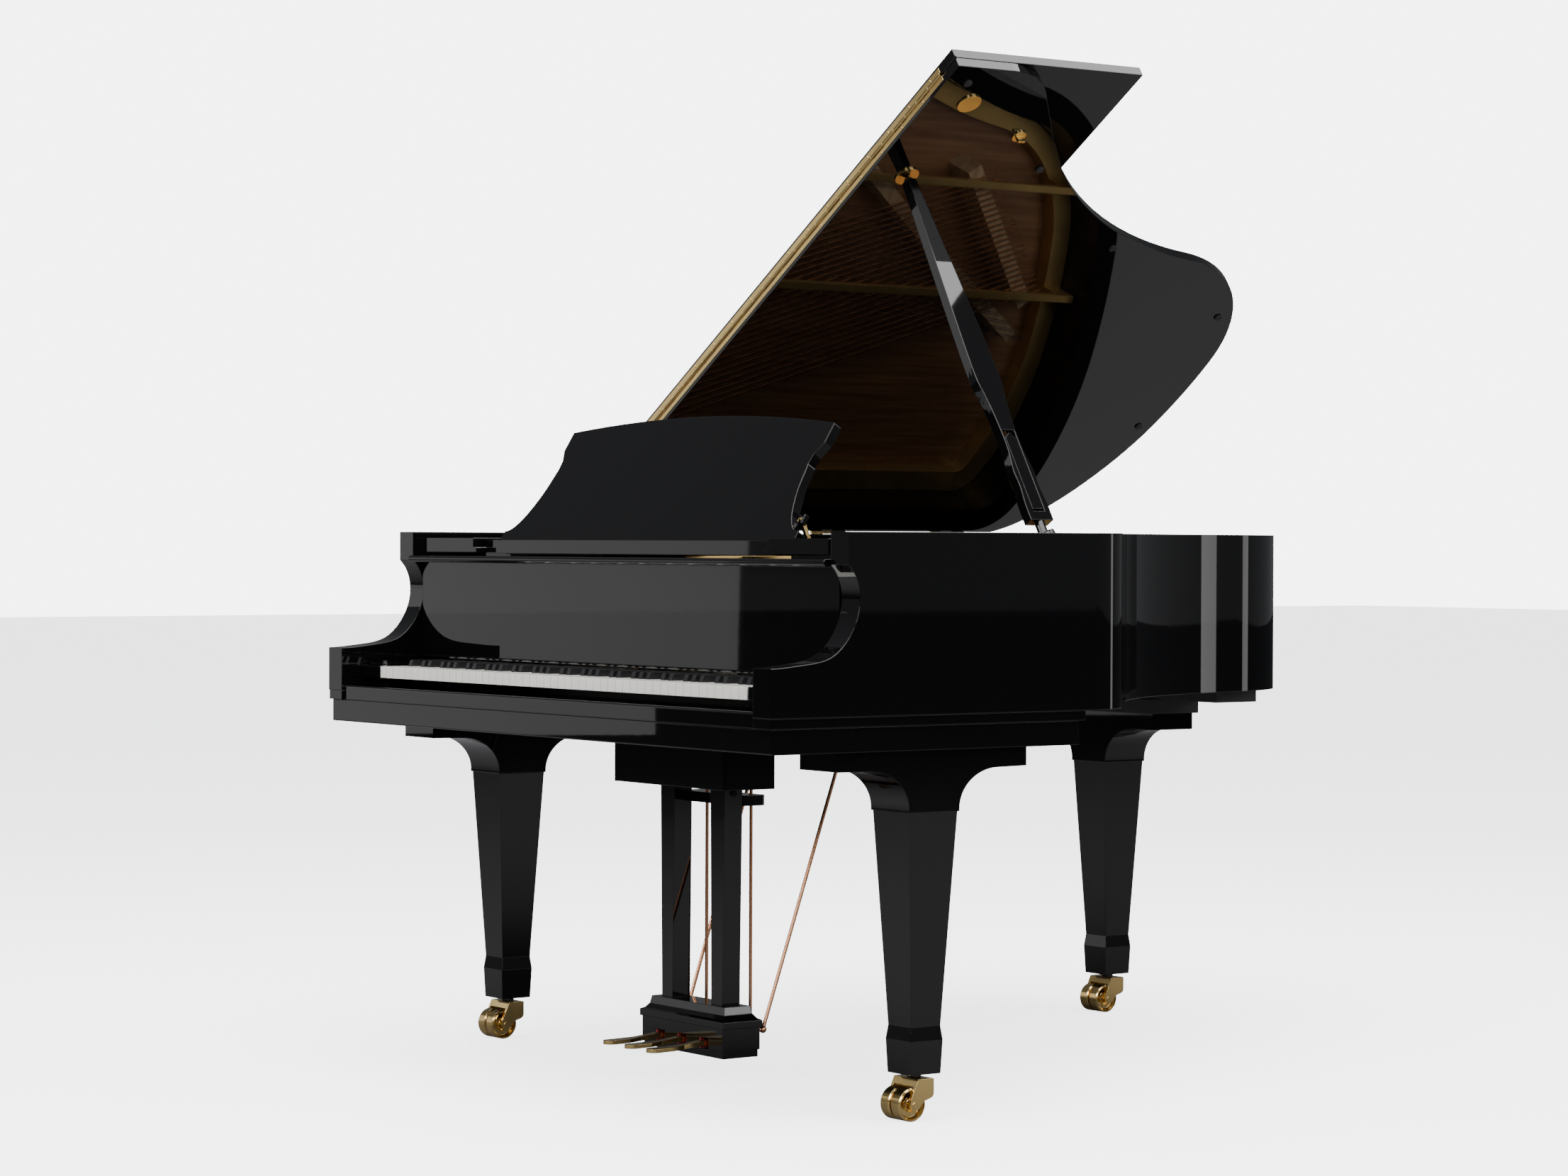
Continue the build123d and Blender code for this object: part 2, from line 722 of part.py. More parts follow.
spine_hinges = (-130.0, 300.0, 620.0)
with BuildPart() as spine_hinge_case:
    for y in spine_hinges:
        with BuildSketch(Plane.XZ.offset(-y + 45)):
            with Locations((-half_width - 1, 968)):
                Rectangle(2, 50)
        extrude(amount=-90)
        with BuildSketch(Plane.XZ.offset(-y + 45)):
            with Locations((-half_width - 2.2, 990)):
                Rectangle(2.4, 14)
            with Locations((hinge_x, hinge_z)):
                Circle(3.4)
            with Locations((hinge_x + 2, hinge_z - 4)):
                Rectangle(2.4, 5)
        extrude(amount=-29.5)
        with BuildSketch(Plane.XZ.offset(-y - 15.5)):
            with Locations((-half_width - 2.2, 990)):
                Rectangle(2.4, 14)
            with Locations((hinge_x, hinge_z)):
                Circle(3.4)
            with Locations((hinge_x + 2, hinge_z - 4)):
                Rectangle(2.4, 5)
        extrude(amount=-29.5)

cup = (442.0, 647.0)
with BuildPart() as lid_fittings:
    with BuildSketch(on_lid(0)):
        with Locations((cup[0], back(cup[1])), (654.5, back(650))):
            Circle(23)
        with Locations((577.5, back(817))):
            Circle(14)
    extrude(amount=-3)
    with BuildSketch(on_lid(-3)):
        with Locations((577.5, back(817))):
            Rectangle(5, 16)
    extrude(amount=-12)
    # lid side of the three hinges along the spine
    for y in spine_hinges:
        across = Plane(origin=lid_plane.from_local_coords(Vector(0, y - 15, 0)), x_dir=open_dir, z_dir=(0, -1, 0))
        with BuildSketch(across):
            with Locations((-half_width - 1, 10)):
                Rectangle(2, 14)
            with Locations((hinge_x, 0)):
                Circle(3.4)
            with Locations((-half_width - 2.2, 3)):
                Rectangle(4.4, 2.4)
        extrude(amount=-30)

bumper_spots = ((707.5, 612), (487.5, 928), (270.5, 1262), (67.5, 1690), (-324.5, 1762))
with BuildPart() as lid_bumpers:
    with BuildSketch(on_lid(0)):
        with Locations(*[(x, back(y)) for x, y in bumper_spots]):
            Circle(8)
    extrude(amount=-3.5)

# ======================= lid prop =======================

prop_pivot = Vector(660, back(640), 985)
prop_tip = lid_plane.from_local_coords(Vector(cup[0], back(cup[1]), -4))
prop_run = prop_tip - prop_pivot
prop_length = prop_run.length
prop_dir = prop_run.normalized()
fold_axis = Vector(-0.688, -0.577, -0.439).normalized()
pin_dir = (fold_axis - prop_dir * fold_axis.dot(prop_dir)).normalized()
blade = 20.0
slot = (52.0, 220.0)


prop_face = Plane(
    origin=prop_pivot,
    x_dir=Vector(0, 1, 0) - prop_dir * prop_dir.Y,
    z_dir=(Vector(0, 1, 0) - prop_dir * prop_dir.Y).cross(prop_dir),
)
with BuildPart() as lid_prop:
    with BuildSketch(prop_face):
        with BuildLine():
            Polyline((0, 34), (25, 34), (25, 60))
            Spline(
                (25, 60),
                (21.5, 108),
                (23, 132),
                (19, 162),
                (17.8, 240),
                (9, prop_length - 9),
                tangents=((0, 1), (-0.05, 1)),
            )
            Line((9, prop_length - 9), (0, prop_length - 9))
            mirror(about=Plane.YZ)
        make_face()
        with Locations((0, (slot[0] + slot[1]) / 2)):
            Rectangle(26, slot[1] - slot[0], mode=Mode.SUBTRACT)
    extrude(amount=blade / 2, both=True)
    with Locations(prop_pivot + prop_dir * (prop_length - 9)):
        Sphere(9)
    with BuildSketch(Plane(origin=prop_pivot, z_dir=prop_dir)):
        Circle(9)
    extrude(amount=36)
    with BuildSketch(Plane(origin=prop_pivot, z_dir=pin_dir)):
        Circle(13)
    extrude(amount=13, both=True)
    with BuildSketch(Plane(origin=prop_pivot, z_dir=pin_dir)):
        Circle(4.2)
    extrude(amount=20, both=True, mode=Mode.SUBTRACT)
    with BuildSketch(Plane(origin=prop_pivot + prop_dir * 64, x_dir=prop_dir, z_dir=(0, 1, 0))):
        Circle(2)
    extrude(amount=16, both=True)

with BuildPart() as short_prop:
    with BuildSketch(prop_face):
        with BuildLine():
            Polyline((-12, 57), (12, 57), (12, 205), (0, 216), (-12, 205), (-12, 57))
        make_face()
    extrude(amount=blade / 2 - 1, both=True)
    with BuildSketch(Plane(origin=prop_pivot + prop_dir * 64, x_dir=prop_dir, z_dir=(0, 1, 0))):
        Circle(2.5)
    extrude(amount=16, both=True, mode=Mode.SUBTRACT)

with BuildPart() as prop_block:
    with BuildSketch(Plane.XY.offset(912)):
        with Locations((inside - 28, back(640))):
            Rectangle(56, 90)
    extrude(amount=42)
    for side in (-1, 1):
        with BuildSketch(Plane(origin=prop_pivot + pin_dir * side * 13.8, x_dir=(0, 0, 1), z_dir=pin_dir * side)):
            Circle(12)
            Rectangle(40, 20, align=(Align.MAX, Align.CENTER))
        extrude(amount=5)
    with BuildSketch(Plane(origin=prop_pivot, z_dir=pin_dir)):
        Circle(3.5)
    extrude(amount=18, both=True)
    # the lugs are cut flush with the side of the rim
    with BuildSketch(Plane.YZ.offset(inside - 0.1)):
        with Locations((prop_pivot.Y, prop_pivot.Z)):
            Rectangle(200, 200)
    extrude(amount=40, mode=Mode.SUBTRACT)

# ======================= soundboard, plate and strings =======================

board_bottom = inner_rim_top
board_top = 858.0
web_bottom = 886.0
web_top = 898.0
string_z = 920.0
bass_z = 933.0
strut_z = 938.0
agraffe_y = 520.0

with BuildPart() as soundboard:
    with BuildSketch(Plane.XY.offset(board_bottom)):
        add(plan(board_inset, front=belly_front))
    extrude(amount=board_top - board_bottom)

with BuildPart() as soundboard_ribs:
    with BuildSketch(Plane.XY.offset(board_bottom - 14)):
        for index in range(9):
            with Locations(Location((-300, back(760 + index * 125), 0), (0, 0, 38))):
                Rectangle(2600, 22)
        add(plan(board_inset + inner_rim_width + 0.5, front=703), mode=Mode.INTERSECT)
    extrude(amount=14)

with BuildPart() as pinblock:
    with BuildSketch(Plane.XY.offset(846)):
        with Locations((0, back(300))):
            Rectangle(2 * inside - 1, 215, align=(Align.CENTER, Align.MIN))
    extrude(amount=web_bottom - 846)

struts = (-212.0, 30.0, 330.0)
with BuildPart() as iron_plate:
    with BuildSketch(Plane.XY.offset(web_bottom)):
        add(plan(board_inset + 1, front=300))
        add(plan(board_inset + 46, front=540), mode=Mode.SUBTRACT)
    extrude(amount=web_top - web_bottom)
    with BuildSketch(Plane.XY.offset(board_top)):
        add(plan(board_inset + 1, front=belly_front))
        add(plan(board_inset + 46, front=belly_front - 1), mode=Mode.SUBTRACT)
    extrude(amount=web_bottom - board_top)
    with BuildSketch(Plane.XY.offset(strut_z)):
        for x in struts:
            with Locations((x, back(470))):
                Rectangle(16, 1400, align=(Align.CENTER, Align.MIN))
        add(plan(board_inset + 4, front=470), mode=Mode.INTERSECT)
    extrude(amount=14)
    with BuildSketch(Plane.XY.offset(web_top)):
        for x in struts:
            with Locations((x, back(470))):
                Rectangle(16, 30, align=(Align.CENTER, Align.MIN))
    extrude(amount=strut_z - web_top)
    with BuildSketch(Plane.XY.offset(web_top)):
        for x in struts:
            with Locations((x, back(700))):
                Rectangle(16, 1200, align=(Align.CENTER, Align.MIN))
        add(plan(board_inset + 4, front=700), mode=Mode.INTERSECT)
        add(plan(board_inset + 46, front=600), mode=Mode.SUBTRACT)
    extrude(amount=strut_z - web_top)


class StringLine:
    """A string in plan: where it leaves the agraffe and where it crosses its bridge."""

    def __init__(self, x, bridge_x, bridge_y):
        self.x = x
        self.bridge = (bridge_x, bridge_y)
        self.slope = (bridge_x - x) / (bridge_y - agraffe_y)

    def at(self, y):
        return self.x + self.slope * (y - agraffe_y)


def clear_of_struts(wire):
    """True where a string misses the feet of the struts and leaves room for its damper."""
    return all(abs(wire.at(y) - x) > 15 for x in struts for y in (485, 620))


treble_count = 62
trebles = []
for index in range(treble_count):
    step = index / (treble_count - 1)
    speaking = 110 + 985 * (1 - step) ** 1.6
    start = -183 + 775 * step
    trebles.append(StringLine(start, start - 0.12 * (1 - step) * speaking, agraffe_y + speaking))
trebles = [wire for wire in trebles if clear_of_struts(wire)]

bass_count = 26
basses = []
for index in range(bass_count):
    step = index / (bass_count - 1)
    basses.append(StringLine(-612 + 372 * step, -215 + 275 * step, 1600 - 215 * step))
basses = [wire for wire in basses if clear_of_struts(wire)]


def string_set(wires, height, width, tail, spread):
    """Straight strings from the tuning pins over the bridge to the hitch pins."""
    with BuildPart() as strings:
        with BuildSketch(Plane.XY.offset(height)):
            for index, wire in enumerate(wires):
                first = 345 + 30 * (index % 3)
                last = wire.bridge[1] + tail
                for shift in spread:
                    low = Vector(wire.at(first) + shift, back(first))
                    high = Vector(wire.at(last) + shift, back(last))
                    angle = degrees_of(high - low)
                    with Locations(Location(tuple((low + high) / 2), (0, 0, angle))):
                        Rectangle((high - low).length, width)
        extrude(amount=width)
    return strings


def degrees_of(direction):
    """Angle of a plan direction from the X axis."""
    return Vector(1, 0, 0).get_signed_angle(direction, Vector(0, 0, 1))


treble_strings = string_set(trebles, string_z, 1.1, 40, (-2.2, 2.2))
bass_strings = string_set(basses, bass_z, 3.2, 45, (0,))

with BuildPart() as bridges:
    with BuildSketch(Plane.XY.offset(board_top)):
        with BuildLine():
            Spline(*[(wire.bridge[0], back(wire.bridge[1])) for wire in trebles[::6]])
        trace(line_width=30)
    extrude(amount=string_z - board_top)
    with BuildSketch(Plane.XY.offset(board_top)):
        with BuildLine():
            Line(
                (basses[0].bridge[0] - 20, back(basses[0].bridge[1] + 16)),
                (basses[-1].bridge[0] + 20, back(basses[-1].bridge[1] - 16)),
            )
        trace(line_width=34)
    extrude(amount=bass_z - board_top)

with BuildPart() as tuning_pins:
    with BuildSketch(Plane.XY.offset(web_top)):
        for wires, spread in ((trebles, (-6.2, 6.2)), (basses, (5.2,))):
            for index, wire in enumerate(wires):
                first = 345 + 30 * (index % 3)
                with Locations(*[(wire.at(first) + shift, back(first)) for shift in spread]):
                    Circle(3)
    extrude(amount=41.5)

with BuildPart() as damper_heads:
    with BuildSketch(Plane.XY.offset(string_z + 1.1)):
        for wire in trebles:
            if wire.x < 430:
                with Locations((wire.at(620), back(620))):
                    Rectangle(8, 44)
    extrude(amount=30)
    with BuildSketch(Plane.XY.offset(bass_z + 3.2)):
        for wire in basses:
            with Locations((wire.at(620), back(620))):
                Rectangle(9, 44)
    extrude(amount=22)

with BuildPart() as hammer_action:
    with BuildSketch(Plane.XY.offset(keybed_top)):
        with Locations(*[(x, back(470)) for x in (-600, -225, 20, 320, 600)]):
            Rectangle(14, 130, align=(Align.CENTER, Align.MIN))
    extrude(amount=140)
    with BuildSketch(Plane.XY.offset(780)):
        with Locations((0, back(480)), (0, back(530))):
            Rectangle(1225, 22, align=(Align.CENTER, Align.MIN))
    extrude(amount=26)
    with BuildSketch(Plane.XY.offset(806)):
        for wire in trebles + basses:
            with Locations((wire.at(575), back(545))):
                Rectangle(6, 42, align=(Align.CENTER, Align.MIN))
    extrude(amount=8)
    with BuildSketch(Plane.XY.offset(806)):
        for wire in trebles + basses:
            with Locations((wire.at(575), back(565))):
                Rectangle(9, 22, align=(Align.CENTER, Align.MIN))
    extrude(amount=86)

nodes_out(
    {
        "outer_rim": outer_rim,
        "side_strips": side_strips,
        "keybed": keybed,
        "inner_rim": inner_rim,
        "bottom_beams": bottom_beams,
        "keyslip": keyslip,
        "key_blocks": key_blocks,
        "stretcher": stretcher,
        "key_frame": key_frame,
        "white_keys_odd": white_keys_odd,
        "white_keys_even": white_keys_even,
        "black_keys": black_keys,
        "hammer_action": hammer_action,
        "damper_heads": damper_heads,
        "soundboard": soundboard,
        "soundboard_ribs": soundboard_ribs,
        "bridges": bridges,
        "pinblock": pinblock,
        "iron_plate": iron_plate,
        "tuning_pins": tuning_pins,
        "treble_strings": treble_strings,
        "bass_strings": bass_strings,
        "fallboard": fallboard,
        "shelf_blocks": shelf_blocks,
        "desk_tray": desk_tray,
        "music_desk": music_desk,
        "desk_stays": desk_stays,
        "leg_front_left": leg_front_left,
        "leg_front_right": leg_front_right,
        "leg_rear": leg_rear,
        "caster_horn_left": caster_horn_left,
        "caster_horn_right": caster_horn_right,
        "caster_horn_rear": caster_horn_rear,
        "caster_wheel_left": caster_wheel_left,
        "caster_wheel_right": caster_wheel_right,
        "caster_wheel_rear": caster_wheel_rear,
        "lyre_top_block": lyre_top_block,
        "lyre_posts": lyre_posts,
        "lyre_moulding": lyre_moulding,
        "lyre_braces": lyre_braces,
        "pedal_box": pedal_box,
        "slot_felts": slot_felts,
        "pedal_left": pedal_left,
        "pedal_middle": pedal_middle,
        "pedal_right": pedal_right,
        "rod_left": rod_left,
        "rod_middle": rod_middle,
        "rod_right": rod_right,
        "lid_main": lid_main,
        "lid_flap": lid_flap,
        "hinge_leaf_main": hinge_leaf_main,
        "hinge_leaf_flap": hinge_leaf_flap,
        "spine_hinge_case": spine_hinge_case,
        "lid_fittings": lid_fittings,
        "lid_bumpers": lid_bumpers,
        "lid_prop": lid_prop,
        "short_prop": short_prop,
        "prop_block": prop_block,
    }
)
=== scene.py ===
import json
import math

import bmesh
import bpy
from mathutils import Matrix, Vector


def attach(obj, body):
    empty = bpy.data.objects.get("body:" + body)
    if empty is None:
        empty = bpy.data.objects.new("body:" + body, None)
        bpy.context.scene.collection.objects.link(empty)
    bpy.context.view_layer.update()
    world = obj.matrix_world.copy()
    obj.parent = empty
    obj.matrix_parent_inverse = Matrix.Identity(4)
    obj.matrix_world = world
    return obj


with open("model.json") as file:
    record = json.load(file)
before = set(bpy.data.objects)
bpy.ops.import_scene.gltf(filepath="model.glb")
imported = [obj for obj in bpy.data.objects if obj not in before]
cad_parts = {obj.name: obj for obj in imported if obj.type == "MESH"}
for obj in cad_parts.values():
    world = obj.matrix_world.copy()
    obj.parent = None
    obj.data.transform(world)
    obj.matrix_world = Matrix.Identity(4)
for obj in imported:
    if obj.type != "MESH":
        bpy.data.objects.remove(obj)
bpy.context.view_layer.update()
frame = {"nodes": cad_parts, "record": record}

nodes = frame["nodes"]


# ---- materials -------------------------------------------------------------------------------

def new_material(name, color, roughness, metallic=0.0):
    """A node material; returns the material, its node tree and its Principled shader."""
    material = bpy.data.materials.new(name)
    material.use_nodes = True
    tree = material.node_tree
    shader = tree.nodes["Principled BSDF"]
    shader.inputs["Base Color"].default_value = (*color, 1)
    shader.inputs["Roughness"].default_value = roughness
    shader.inputs["Metallic"].default_value = metallic
    return material, tree, shader


def noise(tree, scale, detail=3.0, stretch=(1, 1, 1)):
    """Noise in object coordinates, stretched along the axes."""
    place = tree.nodes.new("ShaderNodeTexCoord")
    mapping = tree.nodes.new("ShaderNodeMapping")
    mapping.inputs["Scale"].default_value = stretch
    texture = tree.nodes.new("ShaderNodeTexNoise")
    texture.inputs["Scale"].default_value = scale
    texture.inputs["Detail"].default_value = detail
    tree.links.new(place.outputs["Object"], mapping.inputs["Vector"])
    tree.links.new(mapping.outputs["Vector"], texture.inputs["Vector"])
    return texture


def ramp(tree, source, low, high, spot=(0.3, 0.7)):
    """Colour ramp between two colours, driven by a texture."""
    node = tree.nodes.new("ShaderNodeValToRGB")
    node.color_ramp.elements[0].position = spot[0]
    node.color_ramp.elements[1].position = spot[1]
    node.color_ramp.elements[0].color = (*low, 1)
    node.color_ramp.elements[1].color = (*high, 1)
    tree.links.new(source.outputs["Fac"], node.inputs["Fac"])
    return node


def vary_roughness(tree, shader, source, low, high):
    """Roughness that wanders between two values."""
    node = tree.nodes.new("ShaderNodeMapRange")
    node.inputs["To Min"].default_value = low
    node.inputs["To Max"].default_value = high
    tree.links.new(source.outputs["Fac"], node.inputs["Value"])
    tree.links.new(node.outputs["Result"], shader.inputs["Roughness"])


def bump(tree, shader, source, strength, distance, rounded=0.0):
    """Surface relief from a texture, over edges rounded by the bevel shader."""
    node = tree.nodes.new("ShaderNodeBump")
    node.inputs["Strength"].default_value = strength
    node.inputs["Distance"].default_value = distance
    tree.links.new(source.outputs["Fac"], node.inputs["Height"])
    if rounded:
        bevel = tree.nodes.new("ShaderNodeBevel")
        bevel.samples = 4
        bevel.inputs["Radius"].default_value = rounded
        tree.links.new(bevel.outputs["Normal"], node.inputs["Normal"])
    tree.links.new(node.outputs["Normal"], shader.inputs["Normal"])


def lacquer():
    """Polyester gloss black: deep and clear, with a faint orange peel and soft-rounded edges."""
    material, tree, shader = new_material("black_lacquer", (0.002, 0.002, 0.0023), 0.04)
    vary_roughness(tree, shader, noise(tree, 6, 4), 0.008, 0.03)
    bump(tree, shader, noise(tree, 45, 2), 0.003, 0.001, rounded=0.0022)
    return material


def satin(name, color, roughness, grain=None):
    """Painted or moulded surface with a fine texture."""
    material, tree, shader = new_material(name, color, roughness)
    vary_roughness(tree, shader, noise(tree, 30, 4), roughness - 0.08, roughness + 0.1)
    bump(tree, shader, noise(tree, grain or 260, 2), 0.12, 0.0006, rounded=0.0008)
    return material


def timber(name, low, high, along, roughness):
    """Clear-finished wood, its grain drawn out along one axis."""
    material, tree, shader = new_material(name, high, roughness)
    stretch = tuple(1.2 if axis == along else 26 for axis in "XYZ")
    grain = noise(tree, 3.0, 7, stretch)
    colors = ramp(tree, grain, low, high, (0.32, 0.68))
    tree.links.new(colors.outputs["Color"], shader.inputs["Base Color"])
    bump(tree, shader, grain, 0.15, 0.0005)
    shader.inputs["Coat Weight"].default_value = 0.35
    shader.inputs["Coat Roughness"].default_value = 0.2
    return material


def metal(name, color, low, high, scale=40, rounded=0.0008):
    """Metal with handling marks in its polish."""
    material, tree, shader = new_material(name, color, (low + high) / 2, 1.0)
    marks = noise(tree, scale, 5)
    vary_roughness(tree, shader, marks, low, high)
    tint = ramp(tree, noise(tree, 9, 3), tuple(c * 0.88 for c in color), color)
    tree.links.new(tint.outputs["Color"], shader.inputs["Base Color"])
    bump(tree, shader, marks, 0.04, 0.0004, rounded=rounded)
    return material


def gold_plate():
    """Cast iron sprayed with bronze powder, slightly sandy."""
    material, tree, shader = new_material("gold_plate", (0.62, 0.42, 0.15), 0.36, 0.75)
    sand = noise(tree, 420, 2)
    vary_roughness(tree, shader, sand, 0.28, 0.46)
    tint = ramp(tree, noise(tree, 12, 3), (0.52, 0.34, 0.12), (0.68, 0.47, 0.18))
    tree.links.new(tint.outputs["Color"], shader.inputs["Base Color"])
    bump(tree, shader, sand, 0.18, 0.0005, rounded=0.002)
    return material


def felt(name, low, high):
    """Wool felt: fuzzy, with a sheen."""
    material, tree, shader = new_material(name, high, 0.95)
    fuzz = noise(tree, 900, 4)
    colors = ramp(tree, fuzz, low, high)
    tree.links.new(colors.outputs["Color"], shader.inputs["Base Color"])
    shader.inputs["Sheen Weight"].default_value = 0.6
    bump(tree, shader, fuzz, 0.6, 0.0008)
    return material


def key_white():
    """Key covering: glossy, very slightly warm."""
    material, tree, shader = new_material("key_white", (0.84, 0.825, 0.77), 0.16)
    tint = ramp(tree, noise(tree, 14, 3), (0.81, 0.79, 0.73), (0.86, 0.845, 0.79))
    tree.links.new(tint.outputs["Color"], shader.inputs["Base Color"])
    vary_roughness(tree, shader, noise(tree, 60, 3), 0.12, 0.22)
    bump(tree, shader, noise(tree, 200, 2), 0.02, 0.0003, rounded=0.0012)
    shader.inputs["Coat Weight"].default_value = 0.5
    shader.inputs["Coat Roughness"].default_value = 0.08
    return material


black = lacquer()
underside = satin("underside_black", (0.012, 0.012, 0.012), 0.45)
ebony = satin("key_black", (0.008, 0.008, 0.009), 0.26, 500)
rubber = satin("rubber_black", (0.015, 0.015, 0.015), 0.7)
beech = timber("beech", (0.34, 0.20, 0.10), (0.56, 0.37, 0.21), "Y", 0.4)
# painted shade: the maple key frame is coloured near-black for the shadow in the gap between the
# white key fronts and the keyslip
key_shadow = timber("key_frame_painted_shade", (0.010, 0.008, 0.007), (0.022, 0.017, 0.014), "X", 0.5)
maple = timber("maple", (0.42, 0.28, 0.15), (0.62, 0.44, 0.26), "X", 0.4)
# the spruce is darker and redder than bare spruce: its own brown finish, deepened with painted
# shade for the unlit inside of the case
spruce = timber("spruce", (0.23, 0.105, 0.045), (0.38, 0.20, 0.095), "Y", 0.3)
plate = gold_plate()
brass = metal("brass", (0.80, 0.58, 0.24), 0.10, 0.24)
copper = metal("copper_rod", (0.72, 0.36, 0.20), 0.16, 0.30)
winding = metal("copper_winding", (0.66, 0.33, 0.17), 0.22, 0.38, 300)
steel = metal("steel", (0.58, 0.58, 0.60), 0.16, 0.30, 200)
red_felt = felt("red_felt", (0.20, 0.008, 0.010), (0.42, 0.022, 0.026))
white_felt = felt("white_felt", (0.62, 0.58, 0.50), (0.78, 0.74, 0.66))
ivory = key_white()

finish = {
    "lacquer": black,
    "satin_black": underside,
    "beech": beech,
    "spruce": spruce,
    "maple": maple,
    "gold_iron": plate,
    "brass": brass,
    "copper": copper,
    "steel": steel,
    "ivory": ivory,
    "ebony": ebony,
    "red_felt": red_felt,
    "action_wood": white_felt,
    "black_rubber": rubber,
}
# nodes whose finish differs from the rest of their slot: copper winding on the bass strings, and
# painted shade on the key frame
special = {"bass_strings": winding, "key_frame": key_shadow}
for entry in frame["record"]["subparts"]:
    shown = nodes[entry["node"]]
    chosen = special.get(entry["node"], finish[entry["material_slot"]])
    for index in range(len(shown.material_slots)):
        shown.material_slots[index].material = chosen


# ---- trim built here -------------------------------------------------------------------------

def piece(name, body, material, build):
    """Make a mesh object with a bmesh builder, and let it ride on a body."""
    mesh = bpy.data.meshes.new(name)
    work = bmesh.new()
    build(work)
    bmesh.ops.recalc_face_normals(work, faces=work.faces)
    work.to_mesh(mesh)
    work.free()
    made = bpy.data.objects.new(name, mesh)
    bpy.context.scene.collection.objects.link(made)
    mesh.materials.append(material)
    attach(made, body)


# the raised lid: its pitch, and the axis of its spine hinges
lid_angle = math.radians(33.12)
spine_x = -0.7425
open_dir = Vector((math.cos(lid_angle), 0, math.sin(lid_angle)))
open_up = Vector((-math.sin(lid_angle), 0, math.cos(lid_angle)))
hinge_point = Vector((spine_x, 0, 1.0))


def on_lid(x, y, z):
    """Closed-lid coordinates to the raised lid, in metres."""
    return hinge_point + open_dir * (x - spine_x) + open_up * z + Vector((0, y, 0))


# screws of the piano hinge between the lid and its flap
screw_count = 19
screw_pitch = 0.073
screw_start = -0.680
screw_stagger = 0.036
screw_radius = 0.0026
screw_depth = 0.0010
leaf_front = -0.3370
lid_leaf_height = 0.0104
flap_leaf_height = 0.0280
face_forward = Matrix.Rotation(math.radians(90), 4, "X")


def hinge_screws(shift, height):
    """Builder for the screw heads along one leaf of the hinge."""
    def build(work):
        for index in range(screw_count):
            spot = on_lid(screw_start + shift + index * screw_pitch, leaf_front, height)
            bmesh.ops.create_cone(
                work,
                cap_ends=True,
                segments=20,
                radius1=screw_radius,
                radius2=screw_radius * 0.75,
                depth=screw_depth,
                matrix=Matrix.Translation(spot) @ face_forward,
            )
    return build


piece("hinge_screws_lid", "lid", brass, hinge_screws(0.0, lid_leaf_height))
piece("hinge_screws_flap", "flap", brass, hinge_screws(screw_stagger, flap_leaf_height))

# red felt under the strings, across the case
felt_low = (-0.60, -0.3735, 0.8982)
felt_high = (0.60, -0.3635, 0.9175)
felt_edge = 0.002


def string_felt(work):
    """A felt strip with eased edges."""
    middle = [(a + b) / 2 for a, b in zip(felt_low, felt_high)]
    size = [b - a for a, b in zip(felt_low, felt_high)]
    place = Matrix.Translation(middle) @ Matrix.Diagonal((*size, 1))
    made = bmesh.ops.create_cube(work, size=1, matrix=place)
    edges = {edge for vert in made["verts"] for edge in vert.link_edges}
    bmesh.ops.bevel(
        work, geom=list(edges), offset=felt_edge, segments=3, affect="EDGES", profile=0.5
    )


piece("string_felt", "case", red_felt, string_felt)


# ---- stage -----------------------------------------------------------------------------------

def split_for_camera(tree, others, shown, output):
    """Give one shader to the camera's own rays and another to all other rays."""
    ray = tree.nodes.new("ShaderNodeLightPath")
    mix = tree.nodes.new("ShaderNodeMixShader")
    tree.links.new(ray.outputs["Is Camera Ray"], mix.inputs["Fac"])
    tree.links.new(others, mix.inputs[1])
    tree.links.new(shown, mix.inputs[2])
    tree.links.new(mix.outputs["Shader"], tree.nodes[output].inputs["Surface"])


# the floor shows as pale as the backdrop, and stays dim in the lacquer
floor_pale, floor_tree, floor_shader = new_material("floor_pale", (0.86, 0.86, 0.86), 0.6)
vary_roughness(floor_tree, floor_shader, noise(floor_tree, 3, 3), 0.52, 0.66)
floor_shader.inputs["Emission Color"].default_value = (0.97, 0.98, 1.0, 1)
floor_shader.inputs["Emission Strength"].default_value = 3.0
dim = floor_tree.nodes.new("ShaderNodeBsdfDiffuse")
dim.inputs["Color"].default_value = (0.16, 0.16, 0.165, 1)
split_for_camera(
    floor_tree, dim.outputs["BSDF"], floor_shader.outputs["BSDF"], "Material Output"
)

reach = 40
corners = [(-reach, -reach, 0), (reach, -reach, 0), (reach, reach, 0), (-reach, reach, 0)]
floor_mesh = bpy.data.meshes.new("floor")
floor_mesh.from_pydata(corners, [], [(0, 1, 2, 3)])
floor_mesh.materials.append(floor_pale)
floor = bpy.data.objects.new("floor", floor_mesh)
bpy.context.scene.collection.objects.link(floor)


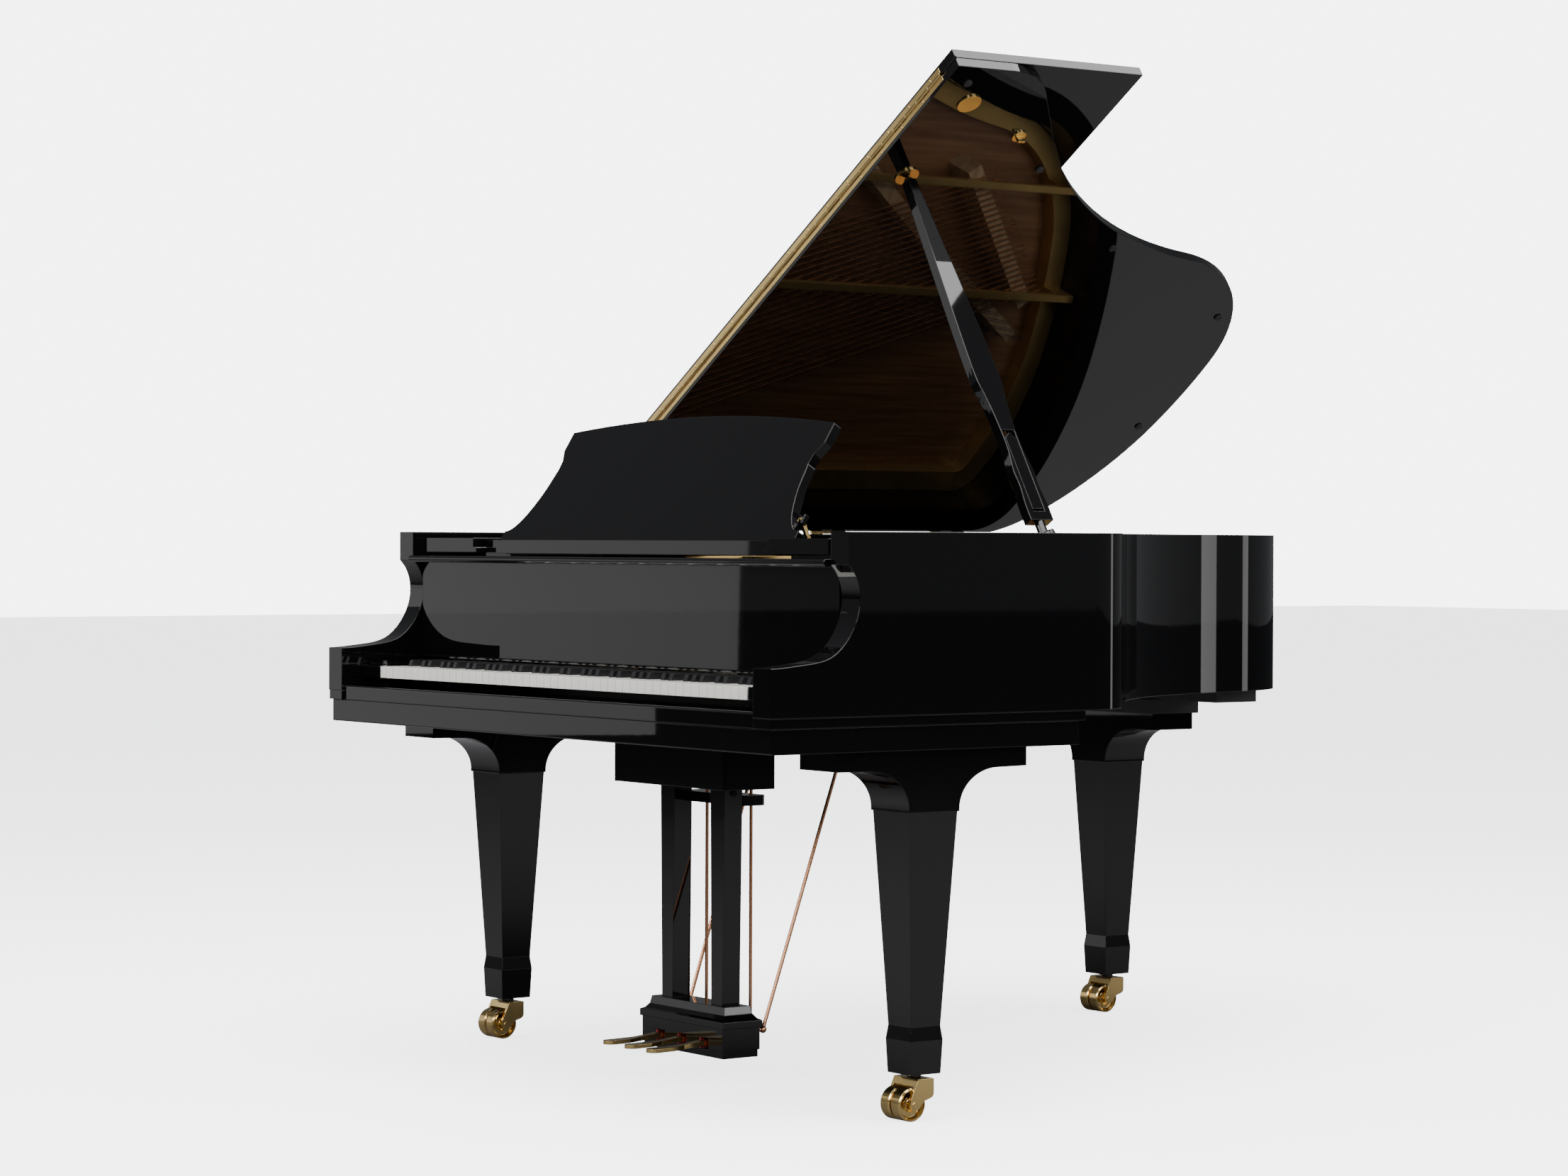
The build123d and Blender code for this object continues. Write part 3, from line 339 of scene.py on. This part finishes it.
def softbox(name, spot, aim, width, height, power):
    """A rectangular studio light at a spot, turned towards its aim."""
    light = bpy.data.lights.new(name, "AREA")
    light.shape = "RECTANGLE"
    light.size = width
    light.size_y = height
    light.energy = power
    made = bpy.data.objects.new(name, light)
    made.location = spot
    made.rotation_euler = (Vector(aim) - Vector(spot)).to_track_quat("-Z", "Y").to_euler()
    bpy.context.scene.collection.objects.link(made)


softbox("overhead", (0.6, -0.4, 4.8), (0, 0, 0.6), 6.5, 6.5, 900)
softbox("window_right", (4.8, 1.8, 2.6), (0, 0, 0.8), 3.0, 2.6, 130)
softbox("window_front", (-0.5, -5.2, 2.8), (0, 0, 0.7), 3.6, 2.0, 130)
softbox("window_left", (-5.6, -3.6, 1.5), (-0.2, -0.8, 0.6), 2.2, 2.4, 12)
softbox("strip_behind", (2.1, 6.0, 1.5), (0.4, 0.4, 0.8), 0.6, 3.0, 9)
softbox("key_light", (6.5, -3.2, 2.6), (0, -0.3, 0.6), 2.4, 2.0, 150)

# near-white backdrop; the room that the lacquer reflects is dimmer than the backdrop
world = bpy.data.worlds.new("studio")
world.use_nodes = True
world_tree = world.node_tree
room = world_tree.nodes["Background"]
room.inputs["Color"].default_value = (0.95, 0.97, 1.0, 1)
room.inputs["Strength"].default_value = 0.13
backdrop = world_tree.nodes.new("ShaderNodeBackground")
backdrop.inputs["Color"].default_value = (0.98, 0.99, 1.0, 1)
backdrop.inputs["Strength"].default_value = 6.0
split_for_camera(
    world_tree, room.outputs["Background"], backdrop.outputs["Background"], "World Output"
)
bpy.context.scene.world = world

# ---- camera ----------------------------------------------------------------------------------

yaw = math.radians(54.376)
pitch = math.radians(-0.656)
roll = math.radians(0.215)
eye = bpy.data.cameras.new("photo_view")
eye.sensor_width = 36
eye.lens = 88.28
camera = bpy.data.objects.new("photo_view", eye)
camera.location = (5.824, -4.519, 0.975)
turn = Matrix.Rotation(yaw, 4, "Z")
tilt = Matrix.Rotation(math.radians(90) + pitch, 4, "X")
camera.rotation_euler = (turn @ tilt @ Matrix.Rotation(roll, 4, "Z")).to_euler()
bpy.context.scene.collection.objects.link(camera)
bpy.context.scene.camera = camera
